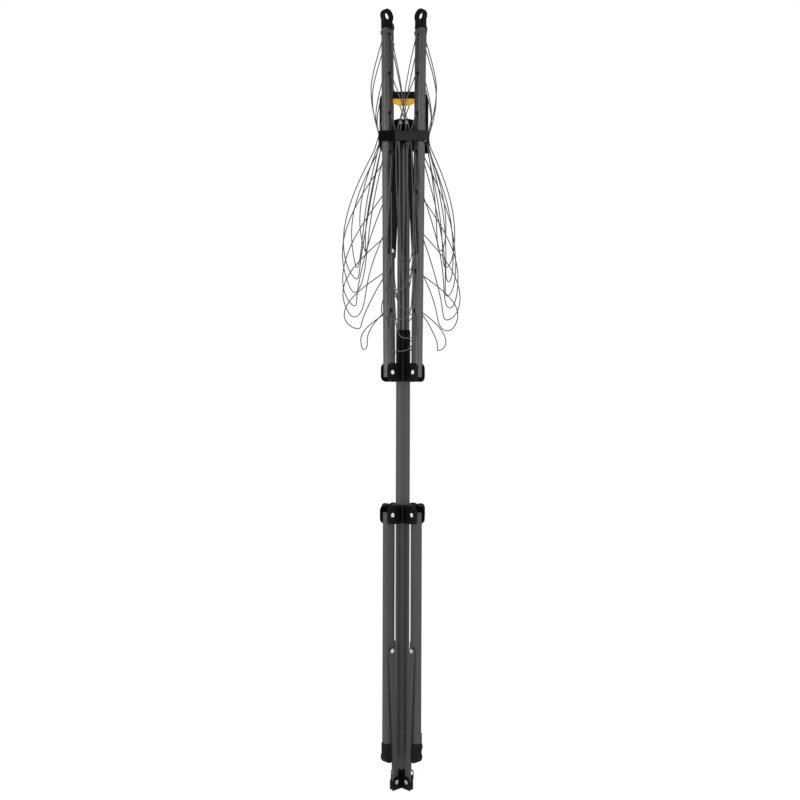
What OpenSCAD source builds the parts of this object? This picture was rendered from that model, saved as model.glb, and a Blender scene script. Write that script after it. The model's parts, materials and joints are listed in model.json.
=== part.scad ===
// Folding rotary clothes airer, folded and standing upright.
// Millimetres. +Z up, front is -Y, origin in the middle of the bare stretch of the pole.

/* [Pole] */
// outer radius of the lower (leg) tube
pole_lower_r = 16; // [14:0.5:20]
// outer radius of the upper (arm) tube
pole_upper_r = 14; // [12:0.5:18]
// wall of both pole tubes
pole_wall = 1.5; // [1:0.1:2.5]
// height of the top end of the lower tube
pole_joint_z = 138.5; // [130:0.5:138.5]
// height of the lower end of the lower tube
pole_bottom_z = -735; // [-740:1:-730]

/* [Arms and legs] */
// radial size of an arm or leg tube
tube_w = 24; // [20:0.5:28]
// thickness of an arm or leg tube across the hinge
tube_t = 17; // [15:0.5:17]
// corner radius of an arm or leg tube
tube_corner = 5; // [2:0.5:7]
// wall of an arm or leg tube
tube_wall = 1.5; // [1:0.1:2.5]
// distance of the hub pins from the pole axis
pin_radius = 44; // [40:0.5:48]
// lean of a folded arm away from the pole
arm_tilt = 0.7; // [0:0.1:1.5]
// length of an arm above its hub pin
arm_len = 766; // [700:1:800]
// length of a leg below its hub pin
leg_len = 520; // [480:1:560]
// distance from an arm's hub pin to its stay pin
arm_stay_a = 270; // [260:1:280]
// distance from a leg's hub pin to its strut pin
leg_strut_b = 303; // [290:1:315]

/* [Hubs] */
// height of the arm hub pins
arm_pin_z = 159; // [155:0.5:163]
// height of the crown pins
crown_pin_z = 719; // [715:0.5:723]
// distance of the crown pins from the axis
crown_pin_r = 26; // [25:0.5:27]
// height of the leg hub pins
leg_pin_z = -160; // [-164:0.5:-156]
// height of the foot hub pins
foot_pin_z = -758; // [-761:0.5:-755]
// distance of the foot hub pins from the axis
foot_pin_r = 31.5; // [30:0.5:33]
// half height of the arm and leg hub cheeks
hub_half = 20.5; // [16:0.5:24]
// thickness of a hub cheek
cheek_t = 2.4; // [2:0.1:3]

/* [Stays and struts] */
// thickness of a flat bar
bar_t = 5; // [3:0.5:5]
// width of a flat bar
bar_w = 14; // [10:0.5:14]
// radius of a rivet shank
rivet_r = 3; // [2:0.25:3.5]

/* [Drying line] */
// diameter of the line
line_d = 2.4; // [1.5:0.1:2.4]
// height of the lowest eyelet
eyelet_z0 = 296.5; // [290:0.5:300]
// spacing of the eyelets
eyelet_step = 88; // [80:1:92]

/* [Strap] */
// lower edge of the tie strap
strap_z = 673; // [660:1:676]
// width of the tie strap
strap_w = 23; // [15:1:25]
// thickness of the tie strap
strap_t = 1.6; // [1:0.1:2.5]

/* [Hidden] */
$fn = 64;
AZ = [0, -45, 45, 135, -135];
SIDE = [0, -1, 1, -1, 1];
e = 0.01;
stay_top = [crown_pin_r, crown_pin_z];
stay_low = [pin_radius + arm_stay_a * sin(arm_tilt), arm_pin_z + arm_stay_a * cos(arm_tilt)];
stay_len = norm(stay_top - stay_low);
stay_ang = atan2(stay_low[0] - stay_top[0], stay_top[1] - stay_low[1]);
strut_len = norm([pin_radius - foot_pin_r, leg_pin_z - leg_strut_b - foot_pin_z]);
strut_ang = atan2(pin_radius - foot_pin_r, leg_pin_z - leg_strut_b - foot_pin_z);
bar_y = tube_t / 2 + 0.4;
arm_cheek_y = tube_t / 2 + 0.75;
leg_cheek_y = tube_t / 2 + 2.5;
N_EYE = 8;

module at_az(k) {
    rotate([0, 0, AZ[k]]) children();
}

// k-th arm or leg with its bar side turned to +y
module at_side(k) {
    rotate([0, 0, AZ[k]])
    if (SIDE[k] < 0) mirror([0, 1, 0]) children();
    else children();
}

module at_arm(k) {
    at_side(k) translate([pin_radius, 0, arm_pin_z]) rotate([0, arm_tilt, 0]) children();
}

module at_leg(k) {
    at_side(k) translate([pin_radius, 0, leg_pin_z]) children();
}

// flat profile in x-z given depth from y0 to y1
module slab(y0, y1) {
    translate([0, y1, 0]) rotate([90, 0, 0]) linear_extrude(y1 - y0) children();
}

module ycyl(r, y0, y1) {
    translate([0, y1, 0]) rotate([90, 0, 0]) cylinder(r = r, h = y1 - y0);
}

module ring(ro, ri, z0, z1) {
    translate([0, 0, z0]) difference() {
        cylinder(r = ro, h = z1 - z0);
        translate([0, 0, -1]) cylinder(r = ri, h = z1 - z0 + 2);
    }
}

module rrect(w, h, r) {
    square([w - 2 * r, h], center = true);
    square([w, h - 2 * r], center = true);
    for (sx = [-1, 1], sy = [-1, 1])
        translate([sx * (w / 2 - r), sy * (h / 2 - r)]) circle(r = r);
}

module tube2d(w, t, r, wall) {
    difference() {
        rrect(w, t, r);
        rrect(w - 2 * wall, t - 2 * wall, r - wall);
    }
}

module bar(len) {
    slab(bar_y, bar_y + bar_t) difference() {
        union() {
            circle(r = bar_w / 2);
            translate([0, len]) circle(r = bar_w / 2);
            translate([-bar_w / 2, 0]) square([bar_w, len]);
        }
        circle(r = rivet_r + 0.02);
        translate([0, len]) circle(r = rivet_r + 0.02);
    }
}

// rivet through a tube and the bar beside it
module tube_rivet() {
    ycyl(rivet_r, -tube_t / 2 - 0.5, bar_y + bar_t + 0.1);
    ycyl(4.6, bar_y + bar_t + 0.05, bar_y + bar_t + 1.1);
    ycyl(4.4, -tube_t / 2 - 1.2, -tube_t / 2 - 0.3);
}

// rivet through an inner lug, the bar and an outer cheek
module lug_rivet(tail) {
    ycyl(rivet_r, tail - 0.4, 16.45);
    ycyl(4.6, 16.4, 17.4);
    ycyl(4.4, tail - 1, tail - 0.2);
}

module lug_profile(r0, h, rz) {
    translate([0, 0]) circle(r = rz);
    translate([-r0, -h]) square([r0, h + rz]);
    translate([-r0, -h]) square([r0 + rz, h]);
}

module pole_lower() {
    color([0.26, 0.26, 0.25]) ring(pole_lower_r, pole_lower_r - pole_wall, pole_bottom_z, pole_joint_z);
}

module pole_upper() {
    color([0.31, 0.30, 0.29]) ring(pole_upper_r, pole_upper_r - pole_wall, 38, 699.5);
}

module pole_bush() {
    color([0.05, 0.05, 0.05]) ring(pole_lower_r - pole_wall - 0.02, pole_upper_r + 0.02, 98, 138.4);
}

module pole_plug() {
    color([0.05, 0.05, 0.05]) {
        ring(15.4, 8, -744, -735.02);
        ring(pole_lower_r - pole_wall - 0.03, 8, -736, -700);
    }
}

module foot_hub() {
    color([0.05, 0.05, 0.05]) difference() {
        union() {
            ring(19.5, 6, -775, -744.03);
            for (k = [1:4]) at_side(k) translate([foot_pin_r, 0, foot_pin_z]) {
                slab(2.4, 8.6) lug_profile(18, 17, 8);
                slab(14.2, 16.2) lug_profile(22.5, 17, 11.5);
            }
        }
        translate([0, 0, -790]) cylinder(r = 6, h = 60);
        for (k = [1:4]) at_side(k) translate([foot_pin_r, 0, foot_pin_z]) ycyl(rivet_r + 0.05, -12, 20);
    }
}

module crown() {
    color([0.05, 0.05, 0.05]) difference() {
        union() {
            translate([0, 0, 677]) cylinder(r = 18, h = 52);
            for (k = [1:4]) at_side(k) translate([crown_pin_r, 0, crown_pin_z]) {
                slab(-8.6, 8.6) lug_profile(14, 30, 9);
                slab(14.2, 16.2) lug_profile(18, 30, 9);
            }
        }
        translate([0, 0, 670]) cylinder(r = pole_upper_r + 0.05, h = 29.95);
        translate([-60, -3.55, 699.95]) cube([120, 7.1, 40]);
        for (k = [1:4]) at_side(k) translate([crown_pin_r, 0, crown_pin_z]) ycyl(rivet_r + 0.05, -12, 20);
    }
}

module handle_outer() {
    translate([0, 757]) square([71, 78], center = true);
    for (sx = [-1, 1]) {
        translate([sx * 35.5, 776]) circle(r = 20);
        translate([sx * 41.5, 714]) circle(r = 14);
    }
    translate([-55.5, 714]) square([111, 62]);
    translate([-41.5, 700]) square([83, 30]);
}

module top_handle() {
    color([0.05, 0.05, 0.05]) slab(-3.5, 3.5) {
        difference() {
            handle_outer();
            translate([0, 747.5]) rrect(95, 67, 10);
        }
        translate([-14, 700]) square([28, 31]);
    }
}

module handle_grip() {
    color([0.93, 0.76, 0.21]) rotate([90, 0, 90]) translate([0, 0, -30]) linear_extrude(60) {
        translate([0, 773.1]) rrect(11, 15.4, 5);
    }
    color([0.93, 0.76, 0.21]) translate([-24, 0, 770]) rotate([0, 90, 0]) cylinder(r = 6.4, h = 48);
}

module hub_clevis(y) {
    for (k = [1:4]) at_az(k) for (s = [0, 1]) mirror([0, s, 0])
        slab(y, y + cheek_t) translate([37, 0]) rrect(42, 2 * hub_half, 12);
}

module hub_holes(r) {
    for (k = [1:4]) at_az(k) translate([pin_radius, 0, 0]) ycyl(r, -20, 20);
}

module arm_hub() {
    color([0.05, 0.05, 0.05]) translate([0, 0, arm_pin_z]) difference() {
        union() {
            translate([0, 0, -hub_half + 0.05]) cylinder(r = 20.5, h = 2 * hub_half - 0.05);
            cylinder(r = 16.3, h = 96);
            hub_clevis(arm_cheek_y);
            translate([0, 0, 66]) ycyl(7, 10, 23.5);
        }
        translate([0, 0, -30]) cylinder(r = pole_upper_r + 0.6, h = 140);
        hub_holes(rivet_r + 0.02);
        translate([0, 0, 66]) ycyl(2.6, 0, 40);
    }
}

module arm_hub_rivets() {
    color([0.8, 0.8, 0.8]) for (k = [1:4]) at_az(k) translate([pin_radius, 0, arm_pin_z]) {
        face = arm_cheek_y + cheek_t;
        ycyl(rivet_r, -face - 0.1, face + 0.1);
        ycyl(4.8, face + 0.03, face + 1.1);
        ycyl(4.8, -face - 1.1, -face - 0.03);
    }
}

module knob(y0, y1, y2, r) {
    ycyl(2.5, y0, y1 + 0.5);
    ycyl(r, y1, y2);
}

module arm_lock_knob() {
    color([0.08, 0.08, 0.08]) translate([0, 0, arm_pin_z + 66])
        knob(pole_upper_r + 0.3, 23.8, 33, 8.5);
}

module leg_hub() {
    color([0.05, 0.05, 0.05]) translate([0, 0, leg_pin_z]) difference() {
        union() {
            translate([0, 0, -hub_half]) cylinder(r = 20.8, h = 2 * hub_half);
            hub_clevis(leg_cheek_y);
            ycyl(4.6, 17, 23.5);
        }
        translate([0, 0, -30]) cylinder(r = pole_lower_r + 2.4, h = 60);
        hub_holes(rivet_r + 0.02);
        ycyl(2.6, 0, 40);
    }
}

module leg_hub_rivets() {
    color([0.8, 0.8, 0.8]) for (k = [1:4]) at_az(k) for (s = [0, 1]) mirror([0, s, 0])
        translate([pin_radius, 0, leg_pin_z]) {
            face = leg_cheek_y + cheek_t;
            ycyl(rivet_r, leg_cheek_y + 0.1, face + 0.1);
            ycyl(4.8, face + 0.03, face + 1.1);
        }
}

module leg_lock_knob() {
    color([0.08, 0.08, 0.08]) translate([0, 0, leg_pin_z])
        knob(pole_lower_r + 2.2, 23.8, 31, 4.5);
}

module arm_tube(k) {
    color([0.31, 0.30, 0.29]) at_arm(k) difference() {
        translate([0, 0, -11]) linear_extrude(arm_len + 11) tube2d(tube_w, tube_t, tube_corner, tube_wall);
        ycyl(rivet_r + 1, -20, 20);
        translate([0, 0, arm_stay_a]) ycyl(rivet_r + 0.05, -20, 20);
        for (i = [0:N_EYE - 1]) translate([0, 0, eyelet_l(i)]) ycyl(3.5, -20, 20);
    }
}

function eyelet_l(i) = (eyelet_z0 + eyelet_step * i - arm_pin_z) / cos(arm_tilt);

module arm_cap(k) {
    color([0.05, 0.05, 0.05]) at_arm(k) difference() {
        union() {
            translate([0, 0, arm_len + 0.02]) linear_extrude(19) rrect(tube_w + 1, tube_t + 1, 5.4);
            translate([0, 0, arm_len - 7]) linear_extrude(8) rrect(tube_w - 3.1, tube_t - 3.1, 3.45);
            translate([0, 0, arm_len + 28.5]) ycyl(16, -4.6, 4.6);
            translate([-9, -4.6, arm_len + 13]) cube([18, 9.2, 10]);
        }
        translate([0, 0, arm_len + 28.5]) ycyl(8.8, -9, 9);
    }
}

module arm_eyelets(k) {
    color([0.05, 0.05, 0.05]) at_arm(k) for (i = [0:N_EYE - 1]) translate([0, 0, eyelet_l(i)]) difference() {
        union() {
            ycyl(3.47, -tube_t / 2 - 0.2, tube_t / 2 + 0.2);
            ycyl(5, tube_t / 2 + 0.02, tube_t / 2 + 0.3);
            ycyl(5, -tube_t / 2 - 1.1, -tube_t / 2 - 0.02);
        }
        ycyl(1.9, -20, 20);
    }
}

module stay(k) {
    color([0.05, 0.05, 0.05]) at_side(k) translate([stay_low[0], 0, stay_low[1]])
        rotate([0, -stay_ang, 0]) bar(stay_len);
}

module stay_rivets(k) {
    color([0.8, 0.8, 0.8]) at_side(k) {
        translate([stay_low[0], 0, stay_low[1]]) tube_rivet();
        translate([stay_top[0], 0, stay_top[1]]) lug_rivet(-8.6);
    }
}

module leg_tube(k) {
    color([0.26, 0.26, 0.25]) at_leg(k) difference() {
        translate([0, 0, -leg_len]) linear_extrude(leg_len + 6) tube2d(tube_w, tube_t, tube_corner, tube_wall);
        ycyl(rivet_r + 1, -20, 20);
        translate([0, 0, -leg_strut_b]) ycyl(rivet_r + 0.05, -20, 20);
    }
}

module leg_foot(k) {
    color([0.2, 0.2, 0.2]) at_leg(k) difference() {
        union() {
            translate([0, 0, -541]) linear_extrude(31) rrect(27, 20, 6.3);
            translate([0, 0, -540.5]) ycyl(13.5, -8.6, 8.6);
        }
        translate([0, 0, -leg_len - 0.02]) linear_extrude(20) rrect(tube_w + 0.06, tube_t + 0.06, 5.03);
        translate([-20, bar_y - 0.1, -570]) cube([40, 10, 70]);
    }
}

module strut(k) {
    color([0.05, 0.05, 0.05]) at_side(k) translate([foot_pin_r, 0, foot_pin_z])
        rotate([0, strut_ang, 0]) bar(strut_len);
}

module strut_rivets(k) {
    color([0.8, 0.8, 0.8]) at_side(k) {
        translate([pin_radius, 0, leg_pin_z - leg_strut_b]) tube_rivet();
        translate([foot_pin_r, 0, foot_pin_z]) lug_rivet(2.4);
    }
}

module tie_strap() {
    color([0.02, 0.02, 0.02]) translate([0, 0, strap_z]) linear_extrude(strap_w) difference() {
        rrect(112, 100, 12);
        rrect(112 - 2 * strap_t, 100 - 2 * strap_t, 12 - strap_t);
    }
}

// half span, outward start and bottom of the loop at each eyelet height, side by side
function z_eye(i) = eyelet_z0 + eyelet_step * i;
function u_eye(i) = pin_radius + (z_eye(i) - arm_pin_z) * tan(arm_tilt);
function late(i, fb) = fb && (i == 2 || i == 3) ? 1 : 0;
function t_eye(i, fb) = late(i, fb) ? 16.2 : 11.2;
function x_eye(i, fb) = (u_eye(i) + 5 * late(i, fb) - t_eye(i, fb)) / sqrt(2);
function y_eye(i, fb) = (u_eye(i) + 5 * late(i, fb) + t_eye(i, fb)) / sqrt(2);
LOOP_IN = [0, 0, 0, 0, 0, 12, 17, 21];
LOOP_OUT_FB = [9, 15, 21, 28, 35, 8, 4, 3];
LOOP_OUT_LR = [22, 38, 54, 70, 87, 10, 12, 14];
function span_len(i) = sqrt(2) * (pin_radius + (z_eye(i) - arm_pin_z) * sin(60.7));
function loop_w(i, fb) = x_eye(i, fb) - LOOP_IN[i];
function loop_out(i, fb) = fb ? LOOP_OUT_FB[i] : LOOP_OUT_LR[i];
function loop_drop(i, fb) = (span_len(i) - PI * loop_w(i, fb)) / 2;

module rod(p, q, d) {
    v = q - p;
    l = norm(v);
    translate(p) rotate([0, acos(v[2] / l), atan2(v[1], v[0])]) cylinder(d = d, h = l - 0.45);
}

module line_loop(i, fb) {
    w = loop_w(i, fb);
    zb = z_eye(i) - loop_drop(i, fb);
    yb = y_eye(i, fb) + loop_out(i, fb);
    for (s = [-1, 1]) rod([s * x_eye(i, fb), y_eye(i, fb), z_eye(i)], [s * w, yb, zb], line_d);
    translate([0, yb, zb]) difference() {
        rotate([90, 0, 0]) rotate_extrude() translate([w, 0]) circle(d = line_d);
        translate([-w - 5, -5, 0]) cube([2 * w + 10, 10, w + 10]);
    }
}

module line_side(a, fb) {
    color([0.45, 0.45, 0.45]) rotate([0, 0, a]) for (i = [0:N_EYE - 1]) line_loop(i, fb);
}

pole_lower();
pole_upper();
pole_bush();
pole_plug();
foot_hub();
crown();
top_handle();
handle_grip();
arm_hub();
arm_hub_rivets();
arm_lock_knob();
leg_hub();
leg_hub_rivets();
leg_lock_knob();
tie_strap();
line_side(180, true);  // line_front
line_side(-90, false);  // line_right
line_side(0, true);  // line_back
line_side(90, false);  // line_left
arm_tube(1);  // arm_tube_1
arm_cap(1);  // arm_cap_1
arm_eyelets(1);  // arm_eyelets_1
stay(1);  // stay_1
stay_rivets(1);  // stay_rivets_1
leg_tube(1);  // leg_tube_1
leg_foot(1);  // leg_foot_1
strut(1);  // strut_1
strut_rivets(1);  // strut_rivets_1
arm_tube(2);  // arm_tube_2
arm_cap(2);  // arm_cap_2
arm_eyelets(2);  // arm_eyelets_2
stay(2);  // stay_2
stay_rivets(2);  // stay_rivets_2
leg_tube(2);  // leg_tube_2
leg_foot(2);  // leg_foot_2
strut(2);  // strut_2
strut_rivets(2);  // strut_rivets_2
arm_tube(3);  // arm_tube_3
arm_cap(3);  // arm_cap_3
arm_eyelets(3);  // arm_eyelets_3
stay(3);  // stay_3
stay_rivets(3);  // stay_rivets_3
leg_tube(3);  // leg_tube_3
leg_foot(3);  // leg_foot_3
strut(3);  // strut_3
strut_rivets(3);  // strut_rivets_3
arm_tube(4);  // arm_tube_4
arm_cap(4);  // arm_cap_4
arm_eyelets(4);  // arm_eyelets_4
stay(4);  // stay_4
stay_rivets(4);  // stay_rivets_4
leg_tube(4);  // leg_tube_4
leg_foot(4);  // leg_foot_4
strut(4);  // strut_4
strut_rivets(4);  // strut_rivets_4
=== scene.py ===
"""Folding rotary clothes airer, folded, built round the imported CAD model. Metres, row frame."""

import json
import math

import bpy
from mathutils import Matrix, Vector


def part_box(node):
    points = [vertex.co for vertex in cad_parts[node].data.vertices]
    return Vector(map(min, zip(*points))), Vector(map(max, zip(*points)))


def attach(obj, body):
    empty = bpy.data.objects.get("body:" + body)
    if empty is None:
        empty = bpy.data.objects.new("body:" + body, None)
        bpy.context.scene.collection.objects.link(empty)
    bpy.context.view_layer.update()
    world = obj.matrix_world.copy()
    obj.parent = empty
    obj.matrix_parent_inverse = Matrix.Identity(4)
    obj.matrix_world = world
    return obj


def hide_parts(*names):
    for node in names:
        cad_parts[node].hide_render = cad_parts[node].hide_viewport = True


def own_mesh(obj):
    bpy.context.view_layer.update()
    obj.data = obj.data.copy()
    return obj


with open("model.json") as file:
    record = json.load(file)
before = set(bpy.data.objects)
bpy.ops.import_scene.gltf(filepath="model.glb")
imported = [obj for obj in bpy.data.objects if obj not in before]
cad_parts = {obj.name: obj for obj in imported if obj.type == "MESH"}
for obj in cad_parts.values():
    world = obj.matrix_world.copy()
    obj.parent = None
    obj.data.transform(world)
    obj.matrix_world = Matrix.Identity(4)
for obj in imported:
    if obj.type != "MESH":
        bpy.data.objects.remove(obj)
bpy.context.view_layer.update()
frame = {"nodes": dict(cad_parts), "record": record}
NODES = frame["nodes"]

# camera
VIEW_AZIMUTH = math.radians(1.5)
CAMERA_DISTANCE = 2.306
CAMERA_HEIGHT = 0.097
SENSOR = 36.0
LENS = 45.72
SHIFT_X = -0.0038
ROLL = math.radians(0.18)

# arms and eyelets
ARM_TILT = math.radians(0.7)
PIN_RADIUS = 0.044
ARM_PIN_Z = 0.159
ARM_AZIMUTH = {1: -45, 2: 45, 3: 135, 4: -135}
EYELET_Z0 = 0.2965
EYELET_STEP = 0.088
EYELETS = 8
TUBE_W = 0.024
TUBE_T = 0.017

# drying line: where each side hangs, the arm it moves with, and how its loops differ
# from those of the other sides
LINE_D = 0.0024
SPREAD_ANGLE = math.radians(60.7)
SIDES = {
    "front": {"turn": 180, "arm": 1, "shift": 0, "fullness": 1.0},
    "right": {"turn": -90, "arm": 2, "shift": 3, "fullness": 0.88},
    "back": {"turn": 0, "arm": 3, "shift": 5, "fullness": 1.0},
    "left": {"turn": 90, "arm": 4, "shift": 0, "fullness": 1.0},
}
STRAP_LEVEL = 0.6845

# shaping
BEVEL_SEGMENTS = 3
SHARP_ANGLE = math.radians(40)
CORNER_CUTS = 2


# ---------------------------------------------------------------- helpers
def new_object(name, verts, faces):
    """Smooth-shaded mesh object, linked to the scene."""
    mesh = bpy.data.meshes.new(name)
    mesh.from_pydata([tuple(v) for v in verts], [], faces)
    mesh.validate()
    for p in mesh.polygons:
        p.use_smooth = True
    obj = bpy.data.objects.new(name, mesh)
    bpy.context.scene.collection.objects.link(obj)
    return obj


def tube_mesh(points, radius, sides=8, closed=False):
    """Vertices and faces of a round tube along points, with its ends capped unless closed."""
    n = len(points)
    verts, faces = [], []
    normal = None
    for i, p in enumerate(points):
        a = points[(i - 1) % n] if closed or i else points[0]
        b = points[(i + 1) % n] if closed or i < n - 1 else points[-1]
        tangent = (b - a).normalized()
        if normal is None:
            normal = tangent.orthogonal().normalized()
        normal = (normal - tangent * normal.dot(tangent)).normalized()
        binormal = tangent.cross(normal)
        for k in range(sides):
            t = 2 * math.pi * k / sides
            verts.append(p + radius * (math.cos(t) * normal + math.sin(t) * binormal))
    for i in range(n if closed else n - 1):
        j = (i + 1) % n
        for k in range(sides):
            m = (k + 1) % sides
            faces.append((i * sides + k, i * sides + m, j * sides + m, j * sides + k))
    if not closed:
        faces.append(tuple(range(sides - 1, -1, -1)))
        faces.append(tuple((n - 1) * sides + k for k in range(sides)))
    return verts, faces


def smooth_path(points):
    """Chaikin's corner cutting, with both ends kept."""
    for _ in range(CORNER_CUTS):
        cut = [points[0]]
        for a, b in zip(points, points[1:]):
            cut += [a.lerp(b, 0.25), a.lerp(b, 0.75)]
        points = [*cut, points[-1]]
    return points


def path_length(points):
    return sum((b - a).length for a, b in zip(points, points[1:]))


def resample(points, step):
    """Points at an even spacing of about step along the path."""
    total = path_length(points)
    count = max(2, round(total / step))
    out, walked, i = [points[0]], 0.0, 0
    for k in range(1, count):
        target = total * k / count
        while walked + (points[i + 1] - points[i]).length < target:
            walked += (points[i + 1] - points[i]).length
            i += 1
        part = (target - walked) / (points[i + 1] - points[i]).length
        out.append(points[i].lerp(points[i + 1], part))
    return [*out, points[-1]]


def material(name, colour, rough, metallic=0.0, specular=0.5, bump=None, speckle=0.0):
    """Principled material. bump is (noise scale, distance); speckle varies its colour a little."""
    m = bpy.data.materials.new(name)
    m.use_nodes = True
    nodes, links = m.node_tree.nodes, m.node_tree.links
    shader = nodes["Principled BSDF"]
    shader.inputs["Base Color"].default_value = (*colour, 1)
    shader.inputs["Roughness"].default_value = rough
    shader.inputs["Metallic"].default_value = metallic
    shader.inputs["Specular IOR Level"].default_value = specular
    if bump:
        where = nodes.new("ShaderNodeTexCoord")
        noise = nodes.new("ShaderNodeTexNoise")
        noise.inputs["Scale"].default_value = bump[0]
        noise.inputs["Detail"].default_value = 3.0
        links.new(where.outputs["Object"], noise.inputs["Vector"])
        relief = nodes.new("ShaderNodeBump")
        relief.inputs["Strength"].default_value = 0.5
        relief.inputs["Distance"].default_value = bump[1]
        links.new(noise.outputs["Fac"], relief.inputs["Height"])
        links.new(relief.outputs["Normal"], shader.inputs["Normal"])
        if speckle:
            ramp = nodes.new("ShaderNodeValToRGB")
            dark = [c * (1 - speckle) for c in colour]
            light = [min(1, c * (1 + speckle)) for c in colour]
            ramp.color_ramp.elements[0].color = (*dark, 1)
            ramp.color_ramp.elements[1].color = (*light, 1)
            ramp.color_ramp.elements[0].position = 0.35
            ramp.color_ramp.elements[1].position = 0.65
            links.new(noise.outputs["Fac"], ramp.inputs["Fac"])
            links.new(ramp.outputs["Color"], shader.inputs["Base Color"])
    return m


def wear(obj, mat):
    """Gives the piece its only material."""
    obj.data.materials.clear()
    obj.data.materials.append(mat)


def bevel(obj, width):
    """Rounds the sharp edges of a CAD piece."""
    mod = obj.modifiers.new("edge", "BEVEL")
    mod.width = width
    mod.segments = BEVEL_SEGMENTS
    mod.limit_method = "ANGLE"
    mod.angle_limit = SHARP_ANGLE
    mod.harden_normals = True


# ---------------------------------------------------------------- materials
MATS = {
    "tube_upper": material("anodised_upper", (0.080, 0.078, 0.074), 0.33, 0.65, 0.45),
    "tube_lower": material("anodised_lower", (0.062, 0.060, 0.057), 0.55, 0.5, 0.3),
    "plastic_black": material("plastic_black", (0.003, 0.003, 0.003), 0.42, 0.0, 0.08, (1600, 0.00004)),
    "bar_black": material("bar_black", (0.005, 0.005, 0.005), 0.4, 0.0, 0.14, (1500, 0.00003)),
    "knob_plastic": material("knob_plastic", (0.005, 0.005, 0.005), 0.45, 0.0, 0.12),
    "grip_yellow": material("grip_yellow", (0.86, 0.44, 0.02), 0.5, 0.0, 0.3, (1300, 0.00005), 0.06),
    "rivet_metal": material("rivet_metal", (0.85, 0.85, 0.83), 0.3, 0.8),
    "foot_rubber": material("foot_rubber", (0.009, 0.009, 0.009), 0.7, 0.0, 0.06, (900, 0.00008)),
    "strap_fabric": material("strap_weave", (0.022, 0.022, 0.024), 0.95, 0.0, 0.03, (2200, 0.00018), 0.25),
    "line_grey": material("line_pvc", (0.07, 0.07, 0.07), 0.5, 0.0, 0.25),
}
HOOK_TAPE = material("strap_hook_tape", (0.0015, 0.0015, 0.0015), 0.7, 0.0, 0.05, (2600, 0.0001))

# ---------------------------------------------------------------- CAD pieces that show
BEVELS = {
    "plastic_black": 0.0009,
    "bar_black": 0.0006,
    "knob_plastic": 0.0012,
    "rivet_metal": 0.0005,
    "foot_rubber": 0.0016,
    "tube_upper": 0.0002,
    "tube_lower": 0.0002,
}
EYELET_BEVEL = 0.0003
SLOT_OF = {s["node"]: s["material_slot"] for s in frame["record"]["subparts"]}
for node, obj in NODES.items():
    slot_name = SLOT_OF[node]
    if slot_name in ("line_grey", "strap_fabric", "grip_yellow"):
        continue
    wear(obj, MATS[slot_name])
    for poly in obj.data.polygons:
        poly.use_smooth = True
    width = BEVELS.get(slot_name, 0)
    if node.startswith("arm_eyelets"):
        width = EYELET_BEVEL
    if node in ("pole_lower", "pole_upper"):
        width = 0
        obj.data.set_sharp_from_angle(angle=SHARP_ANGLE)
    if width:
        bevel(obj, width)

# ---------------------------------------------------------------- drying line
def eyelet_height(level):
    """Height of an eyelet, counted from 0 at the lowest."""
    return EYELET_Z0 + EYELET_STEP * level


def in_side(turn, across, out, z):
    """A point of one side of the airer: across along the side, out from the pole."""
    t = math.radians(turn)
    x = across * math.cos(t) - out * math.sin(t)
    y = across * math.sin(t) + out * math.cos(t)
    return Vector((x, y, z))


def mouth(level, off_face):
    """Across and out of an eyelet's mouth, off_face from the middle of the arm tube."""
    u = PIN_RADIUS + (eyelet_height(level) - ARM_PIN_Z) * math.tan(ARM_TILT)
    return (u - off_face) / math.sqrt(2), (u + off_face) / math.sqrt(2)


def span_length(level):
    """Line between two neighbouring arms when the airer is open."""
    along = eyelet_height(level) - ARM_PIN_Z
    return math.sqrt(2) * (PIN_RADIUS + along * math.sin(SPREAD_ANGLE))


# per level, lowest first: how far the loop swings out, on the left and right and on the
# front and back
SWING_SIDE = [0.050, 0.068, 0.072, 0.074, 0.070, 0.062, 0.058, 0.040]
SWING_FACE = [0.010, 0.014, 0.020, 0.024, 0.030, 0.014, 0.010, 0.007]
# bulge above the strap, on the left and right
BOW = [0, 0, 0, 0, 0, 0.006, 0.018, 0.026]
# narrowing of the loop towards its bottom, on the front and back (negative: it widens)
TUCK = [-0.9, -0.4, -1.0, -0.3, -0.8, 0.1, -0.3, 0.2]
# difference in swing between the loop's two halves
LEAN = [0.22, -0.40, 0.46, -0.30, 0.50, -0.44, 0.34, -0.26]
# drawing together above the strap, on the front and back (over 1: the halves cross)
CROSS = [0, 0, 0, 0, 0, 0.65, 1.6, 1.3]
# sideways drift of the loop's bottom
SWAY = [0.010, -0.014, 0.016, -0.010, 0.018, -0.012, 0.015, -0.008]


# distances from the middle of the arm tube: its face, the mouth of an eyelet, a bar's face
FACE_OFF, MOUTH_OFF, BAR_OFF = 0.0085, 0.0125, 0.0162
BAR_CLEAR = 0.0035
BEHIND_BAR = (2, 3)
PINCH_FACE, PINCH_SIDE = 0.0462, 0.0505
LOOP_STEPS = 60
DEPTH_POWER = 0.55
WAVE = 0.0025
CORD_STEP = 0.006


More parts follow.
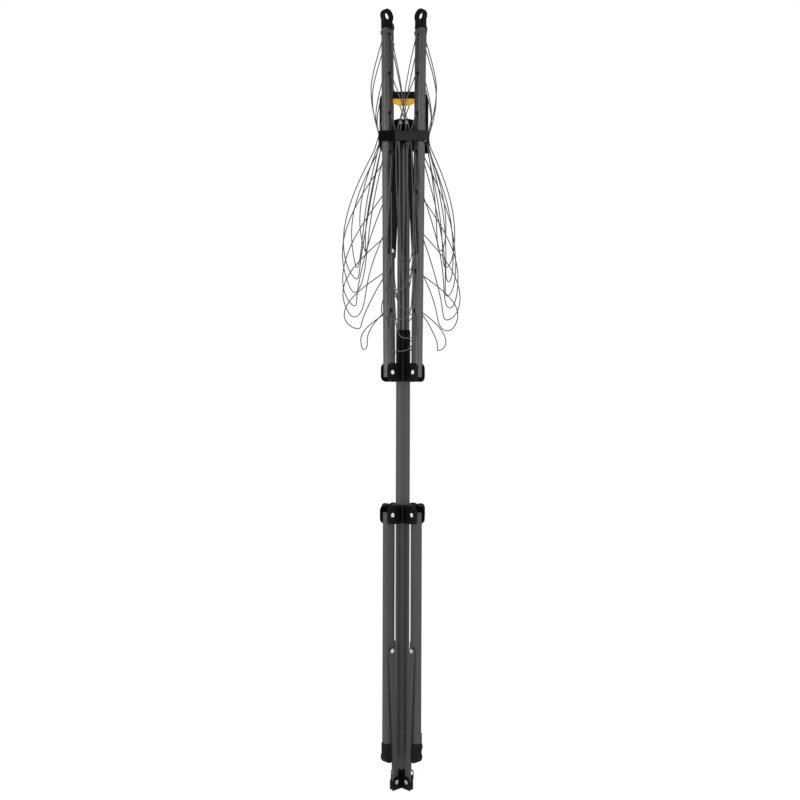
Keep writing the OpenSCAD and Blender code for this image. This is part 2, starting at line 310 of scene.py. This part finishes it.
def loop_points(side, level, drop):
    """Path of one hanging loop whose bottom is drop below its eyelets."""
    turn = SIDES[side]["turn"]
    face_on = side in ("front", "back")
    behind_bar = face_on and level in BEHIND_BAR
    top = eyelet_height(level)
    x0, y0 = mouth(level, FACE_OFF)
    x1, y1 = mouth(level, MOUTH_OFF)
    if behind_bar:
        x0, y0 = mouth(level, BAR_OFF)
        x0, y0 = x0 + BAR_CLEAR, y0 + BAR_CLEAR
        x1, y1 = x0 - 0.0006, y0 + 0.0022
    swing = (SWING_FACE[level] if face_on else SWING_SIDE[level]) * SIDES[side]["fullness"]
    uneven = LEAN[(level + SIDES[side]["shift"]) % EYELETS]
    hand = 1 if side in ("front", "left") else -1
    above_strap = top > STRAP_LEVEL
    pinch = (PINCH_FACE if face_on else PINCH_SIDE) if above_strap else y1
    bottom = top - drop
    middle = []
    for k in range(1, LOOP_STEPS):
        s = k / LOOP_STEPS
        depth = math.sin(math.pi * s) ** DEPTH_POWER
        z = top - 0.002 - (drop - 0.002) * depth
        part = math.cos(math.pi * s)
        if face_on:
            x = x1 * math.copysign(abs(part) ** 0.6, part) * (1 - TUCK[level] * depth**3)
        else:
            x = x1 * part * (1 - 0.3 * depth)
        x += SWAY[level] * hand * depth**2
        x += WAVE * depth * math.sin(4 * math.pi * s + 2 * level)
        if face_on and above_strap:
            x *= 1 - CROSS[level] * min(1.0, (top - z) / (top - STRAP_LEVEL)) ** 0.7
        if above_strap and z > STRAP_LEVEL:
            u = (top - z) / (top - STRAP_LEVEL)
            bow = 0 if face_on else BOW[level]
            y = y1 + (pinch - y1) * u + bow * math.sin(math.pi * u)
        else:
            free_top = min(top, STRAP_LEVEL)
            u = (free_top - z) / (free_top - bottom)
            lean = 1 + uneven * (0.4 if face_on else 1) * hand * math.cos(math.pi * s)
            y = pinch + swing * lean * math.sin(0.62 * math.pi * u)
            y += WAVE * u * math.sin(4 * math.pi * s + 3 * level + turn)
        middle.append((x, y, z))
    start = [(x0, y0, top), (x1, y1, top - 0.0004)]
    end = [(-x1, y1, top - 0.0004), (-x0, y0, top)]
    points = [in_side(turn, *p) for p in [*start, *middle, *end]]
    return resample(smooth_path(points), CORD_STEP)


def loop_of_length(side, level, length):
    """The loop whose path has the given length, found by halving."""
    low, high = 0.03, 0.6
    for _ in range(30):
        drop = (low + high) / 2
        if path_length(loop_points(side, level, drop)) > length:
            high = drop
        else:
            low = drop
    return loop_points(side, level, (low + high) / 2)


for side, facts in SIDES.items():
    arm = facts["arm"]
    for level in range(EYELETS):
        points = loop_of_length(side, level, span_length(level))
        verts, faces = tube_mesh(points, LINE_D / 2)
        cord = new_object(f"line_{side}_{level + 1}", verts, faces)
        wear(cord, MATS["line_grey"])
        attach(cord, f"arm_{arm}")
        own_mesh(cord)
        if level == 0:
            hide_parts(f"line_{side}")

# ---------------------------------------------------------------- line ends wound round the arm tops
WRAP_Z = 0.9165
WRAP_TURNS = 3
WRAP_R = 0.0010
WRAP_OFF = 0.0011
WRAP_PITCH = 0.0021
WRAP_CORNER = 0.006


def rounded_rect(half_w, half_h, corner, per_corner=8):
    """Closed outline of a rounded rectangle, counter-clockwise, as (x, y) pairs."""
    out = []
    for cx, cy, start in ((1, 1, 0), (-1, 1, 90), (-1, -1, 180), (1, -1, 270)):
        for k in range(per_corner + 1):
            t = math.radians(start + 90 * k / per_corner)
            out.append(
                (
                    cx * (half_w - corner) + corner * math.cos(t),
                    cy * (half_h - corner) + corner * math.sin(t),
                )
            )
    return out


def arm_matrix(arm):
    """From the arm's own frame (out, across, along, from the hub pin) to the row frame."""
    turn = Matrix.Rotation(math.radians(ARM_AZIMUTH[arm]), 4, "Z")
    lean = Matrix.Rotation(ARM_TILT, 4, "Y")
    return turn @ Matrix.Translation((PIN_RADIUS, 0, ARM_PIN_Z)) @ lean


for arm in ARM_AZIMUTH:
    place = arm_matrix(arm)
    along = (WRAP_Z - ARM_PIN_Z) / math.cos(ARM_TILT)
    outline = rounded_rect(TUBE_W / 2 + WRAP_OFF, TUBE_T / 2 + WRAP_OFF, WRAP_CORNER)
    verts, faces = [], []
    for turn in range(WRAP_TURNS):
        ring = []
        for k, (x, y) in enumerate(outline):
            sag = 0.0006 * math.sin(2 * math.pi * k / len(outline) + turn)
            ring.append(place @ Vector((x, y, along + (turn - 1) * WRAP_PITCH + sag)))
        v, f = tube_mesh(ring, WRAP_R, 6, closed=True)
        faces += [tuple(i + len(verts) for i in face) for face in f]
        verts += v
    wrap = new_object(f"line_wrap_{arm}", verts, faces)
    wear(wrap, MATS["line_grey"])
    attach(wrap, f"arm_{arm}")

# ---------------------------------------------------------------- hand grip
GRIP_HALF = 0.0285
GRIP_TOP = 0.7805
GRIP_DEPTH = 0.0158
GRIP_RINGS, GRIP_SIDES = 49, 32
GRIP_SQUARENESS = 0.7


def squared(value):
    """Fuller than a circle: a sine or cosine pushed outwards."""
    return math.copysign(abs(value) ** GRIP_SQUARENESS, value)


def grip_mesh():
    """Sleeve under the handle's top bar, deepest in the middle."""
    verts, faces = [], []
    rings, sides = GRIP_RINGS, GRIP_SIDES
    for i in range(rings):
        u = -1 + 2 * i / (rings - 1)
        full = math.sqrt(1 - 0.94 * u * u)
        half_y = 0.0030 + 0.0032 * full
        low, high = GRIP_TOP - GRIP_DEPTH * full, GRIP_TOP
        for k in range(sides):
            t = 2 * math.pi * k / sides
            mid, half = (high + low) / 2, (high - low) / 2
            y, z = half_y * squared(math.cos(t)), mid + half * squared(math.sin(t))
            verts.append((u * GRIP_HALF, y, z))
    for i in range(rings - 1):
        for k in range(sides):
            m = (k + 1) % sides
            faces.append((i * sides + k, (i + 1) * sides + k, (i + 1) * sides + m, i * sides + m))
    faces.append(tuple(range(sides)))
    faces.append(tuple((rings - 1) * sides + k for k in range(sides - 1, -1, -1)))
    return verts, faces


grip = new_object("hand_grip", *grip_mesh())
wear(grip, MATS["grip_yellow"])
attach(grip, "frame")
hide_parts("handle_grip")

# ---------------------------------------------------------------- tie strap
strap_low, strap_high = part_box("tie_strap")
STRAP_THICK = 0.0014
STRAP_TOP, STRAP_BOTTOM = strap_high.z, strap_low.z
STRAP_HALF_X, STRAP_HALF_Y = strap_high.x, strap_high.y
STRAP_CORNER = 0.012
STRAP_ROWS = (0.0, 0.04, 0.25, 0.5, 0.75, 0.96, 1.0)
STRAP_CROWN = 0.0004
STRAP_FRAY = 0.0003
STRAP_SAG = 0.0065
BAND_OFF, LAP_OFF = -0.0003, 0.0014
OVERLAP_END_X = -0.018
OVERLAP_SHARE = 0.66


def nearest(points, x, y):
    """Index of the point closest to (x, y) in plan."""
    return min(range(len(points)), key=lambda i: (points[i].xy - Vector((x, y))).length)


def strap_outline(offset, count=240):
    """Closed plan outline of the strap's face moved out by offset, from the front middle."""
    half_x, half_y = STRAP_HALF_X + offset, STRAP_HALF_Y + offset
    flat = rounded_rect(half_x, half_y, STRAP_CORNER + offset, 10)
    ring = [Vector((x, y, 0)) for x, y in flat]
    ring.append(ring[0].copy())
    even = resample(ring, path_length(ring) / count)[:-1]
    start = nearest(even, 0, -half_y)
    return even[start:] + even[:start]


def strap_piece(name, outline, closed, top, bottom, sag):
    """Woven band: outline is its outer face, sag lowers it where the band hangs."""
    rows = STRAP_ROWS
    n = len(outline)
    verts, faces = [], []
    for i, p in enumerate(outline):
        a = outline[(i - 1) % n] if closed or i else outline[0]
        b = outline[(i + 1) % n] if closed or i < n - 1 else outline[-1]
        t = (b - a).normalized()
        out = Vector((t.y, -t.x, 0))
        drop = sag(p)
        for face in (0, 1):
            for r in rows if not face else reversed(rows):
                edge = STRAP_CROWN if r in (0.0, 1.0) else 0
                crown = STRAP_CROWN * math.sin(math.pi * r) - edge
                q = p - out * STRAP_THICK if face else p + out * crown
                wave = STRAP_FRAY * math.sin(0.9 * i + 4 * r) * abs(2 * r - 1)
                verts.append((q.x, q.y, bottom + (top - bottom) * r + wave - drop))
    per = 2 * len(rows)
    for i in range(n if closed else n - 1):
        j = (i + 1) % n
        for k in range(per):
            m = (k + 1) % per
            faces.append((i * per + k, j * per + k, j * per + m, i * per + m))
    if not closed:
        faces.append(tuple(range(per)))
        faces.append(tuple((n - 1) * per + k for k in range(per - 1, -1, -1)))
    return new_object(name, verts, faces)


def right_sag(p):
    """The band slips down a little round its right-hand side and back."""
    side = max(0.0, min(1.0, (p.x - 0.030) / 0.026))
    back = max(0.0, min(1.0, (p.y + 0.040) / 0.060))
    return STRAP_SAG * side * side * (3 - 2 * side) * back


band = strap_outline(BAND_OFF)
inner = strap_piece("strap_hook_band", band, True, STRAP_TOP, STRAP_BOTTOM, lambda p: 0.0)
wear(inner, HOOK_TAPE)
over = strap_outline(LAP_OFF)
first = nearest(over, OVERLAP_END_X, -STRAP_HALF_Y)
lap = over[first:] + over[:first]
lap = lap[: int(len(lap) * OVERLAP_SHARE)]
lap_top, lap_bottom = STRAP_TOP - 0.001, STRAP_BOTTOM + 0.0006
outer = strap_piece("strap_overlap", lap, False, lap_top, lap_bottom, right_sag)
wear(outer, MATS["strap_fabric"])
for piece in (inner, outer):
    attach(piece, "arm_4")
    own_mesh(piece)
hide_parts("tie_strap")

# ---------------------------------------------------------------- floor, light and camera
FLOOR_Z = -0.797
pale = material("studio_pale", (0.02, 0.02, 0.02), 1.0, 0.0, 0.0)
pale.node_tree.nodes["Principled BSDF"].inputs["Emission Color"].default_value = (1, 1, 1, 1)
pale.node_tree.nodes["Principled BSDF"].inputs["Emission Strength"].default_value = 1.0
sweep = [(-6.0, FLOOR_Z), (2.5, FLOOR_Z)]
for k in range(1, 13):
    t = math.radians(90 * k / 12)
    sweep.append((2.5 + 1.5 * math.sin(t), FLOOR_Z + 1.5 * (1 - math.cos(t))))
sweep.append((4.0, 7.0))
verts, faces = [], []
for y, z in sweep:
    verts += [(-7.0, y, z), (7.0, y, z)]
for i in range(len(sweep) - 1):
    faces.append((2 * i, 2 * i + 1, 2 * i + 3, 2 * i + 2))
backdrop = new_object("studio_sweep", verts, faces)
backdrop.data.materials.append(pale)

# white surround for the views from the other sides, which gives no light of its own
verts, faces = [], []
around, up, radius = 48, 24, 14
for i in range(up + 1):
    lat = math.pi * (i / up - 0.5)
    for k in range(around):
        lon = 2 * math.pi * k / around
        flat = radius * math.cos(lat)
        verts.append((flat * math.cos(lon), flat * math.sin(lon), radius * math.sin(lat)))
for i in range(up):
    for k in range(around):
        m = (k + 1) % around
        faces.append((i * around + k, i * around + m, (i + 1) * around + m, (i + 1) * around + k))
surround = new_object("studio_surround", verts, faces)
surround.data.materials.append(pale)
surround.visible_diffuse = False
surround.visible_glossy = False
surround.visible_transmission = False
surround.visible_shadow = False

world = bpy.data.worlds.new("studio")
bpy.context.scene.world = world
world.use_nodes = True
world.node_tree.nodes["Background"].inputs["Color"].default_value = (1, 1, 1, 1)
world.node_tree.nodes["Background"].inputs["Strength"].default_value = 0.14


def area_light(name, place, target, width, height, power):
    """Rectangular light turned to its target."""
    data = bpy.data.lights.new(name, "AREA")
    data.shape = "RECTANGLE"
    data.size, data.size_y, data.energy = width, height, power
    lamp = bpy.data.objects.new(name, data)
    bpy.context.scene.collection.objects.link(lamp)
    lamp.location = place
    lamp.rotation_euler = (Vector(target) - Vector(place)).to_track_quat("-Z", "Y").to_euler()


area_light("panel_left", (-3.0, -0.8, 0.2), (0, 0, 0.1), 1.8, 3.2, 44)
area_light("panel_right", (3.0, -0.8, 0.2), (0, 0, 0.1), 1.8, 3.2, 36)
area_light("panel_front", (-0.2, -3.4, 0.2), (0, 0, 0.1), 1.1, 3.0, 40)
area_light("edge_left", (-2.3, -1.5, 0.2), (0, 0, 0.1), 0.14, 3.2, 30)
area_light("edge_right", (2.3, -1.5, 0.2), (0, 0, 0.1), 0.14, 3.2, 22)
area_light("top_soft", (0, -1.0, 3.2), (0, 0, 0), 2.4, 2.4, 25)

camera_data = bpy.data.cameras.new("camera")
camera_data.sensor_width = SENSOR
camera_data.lens = LENS
camera_data.shift_x = SHIFT_X
camera = bpy.data.objects.new("camera", camera_data)
bpy.context.scene.collection.objects.link(camera)
eye = Vector(
    (
        CAMERA_DISTANCE * math.sin(VIEW_AZIMUTH),
        -CAMERA_DISTANCE * math.cos(VIEW_AZIMUTH),
        CAMERA_HEIGHT,
    )
)
look = Matrix.Rotation(VIEW_AZIMUTH, 4, "Z") @ Matrix.Rotation(math.radians(90), 4, "X")
camera.matrix_world = Matrix.Translation(eye) @ look @ Matrix.Rotation(ROLL, 4, "Z")
bpy.context.scene.camera = camera
bpy.context.scene.view_settings.view_transform = "Standard"
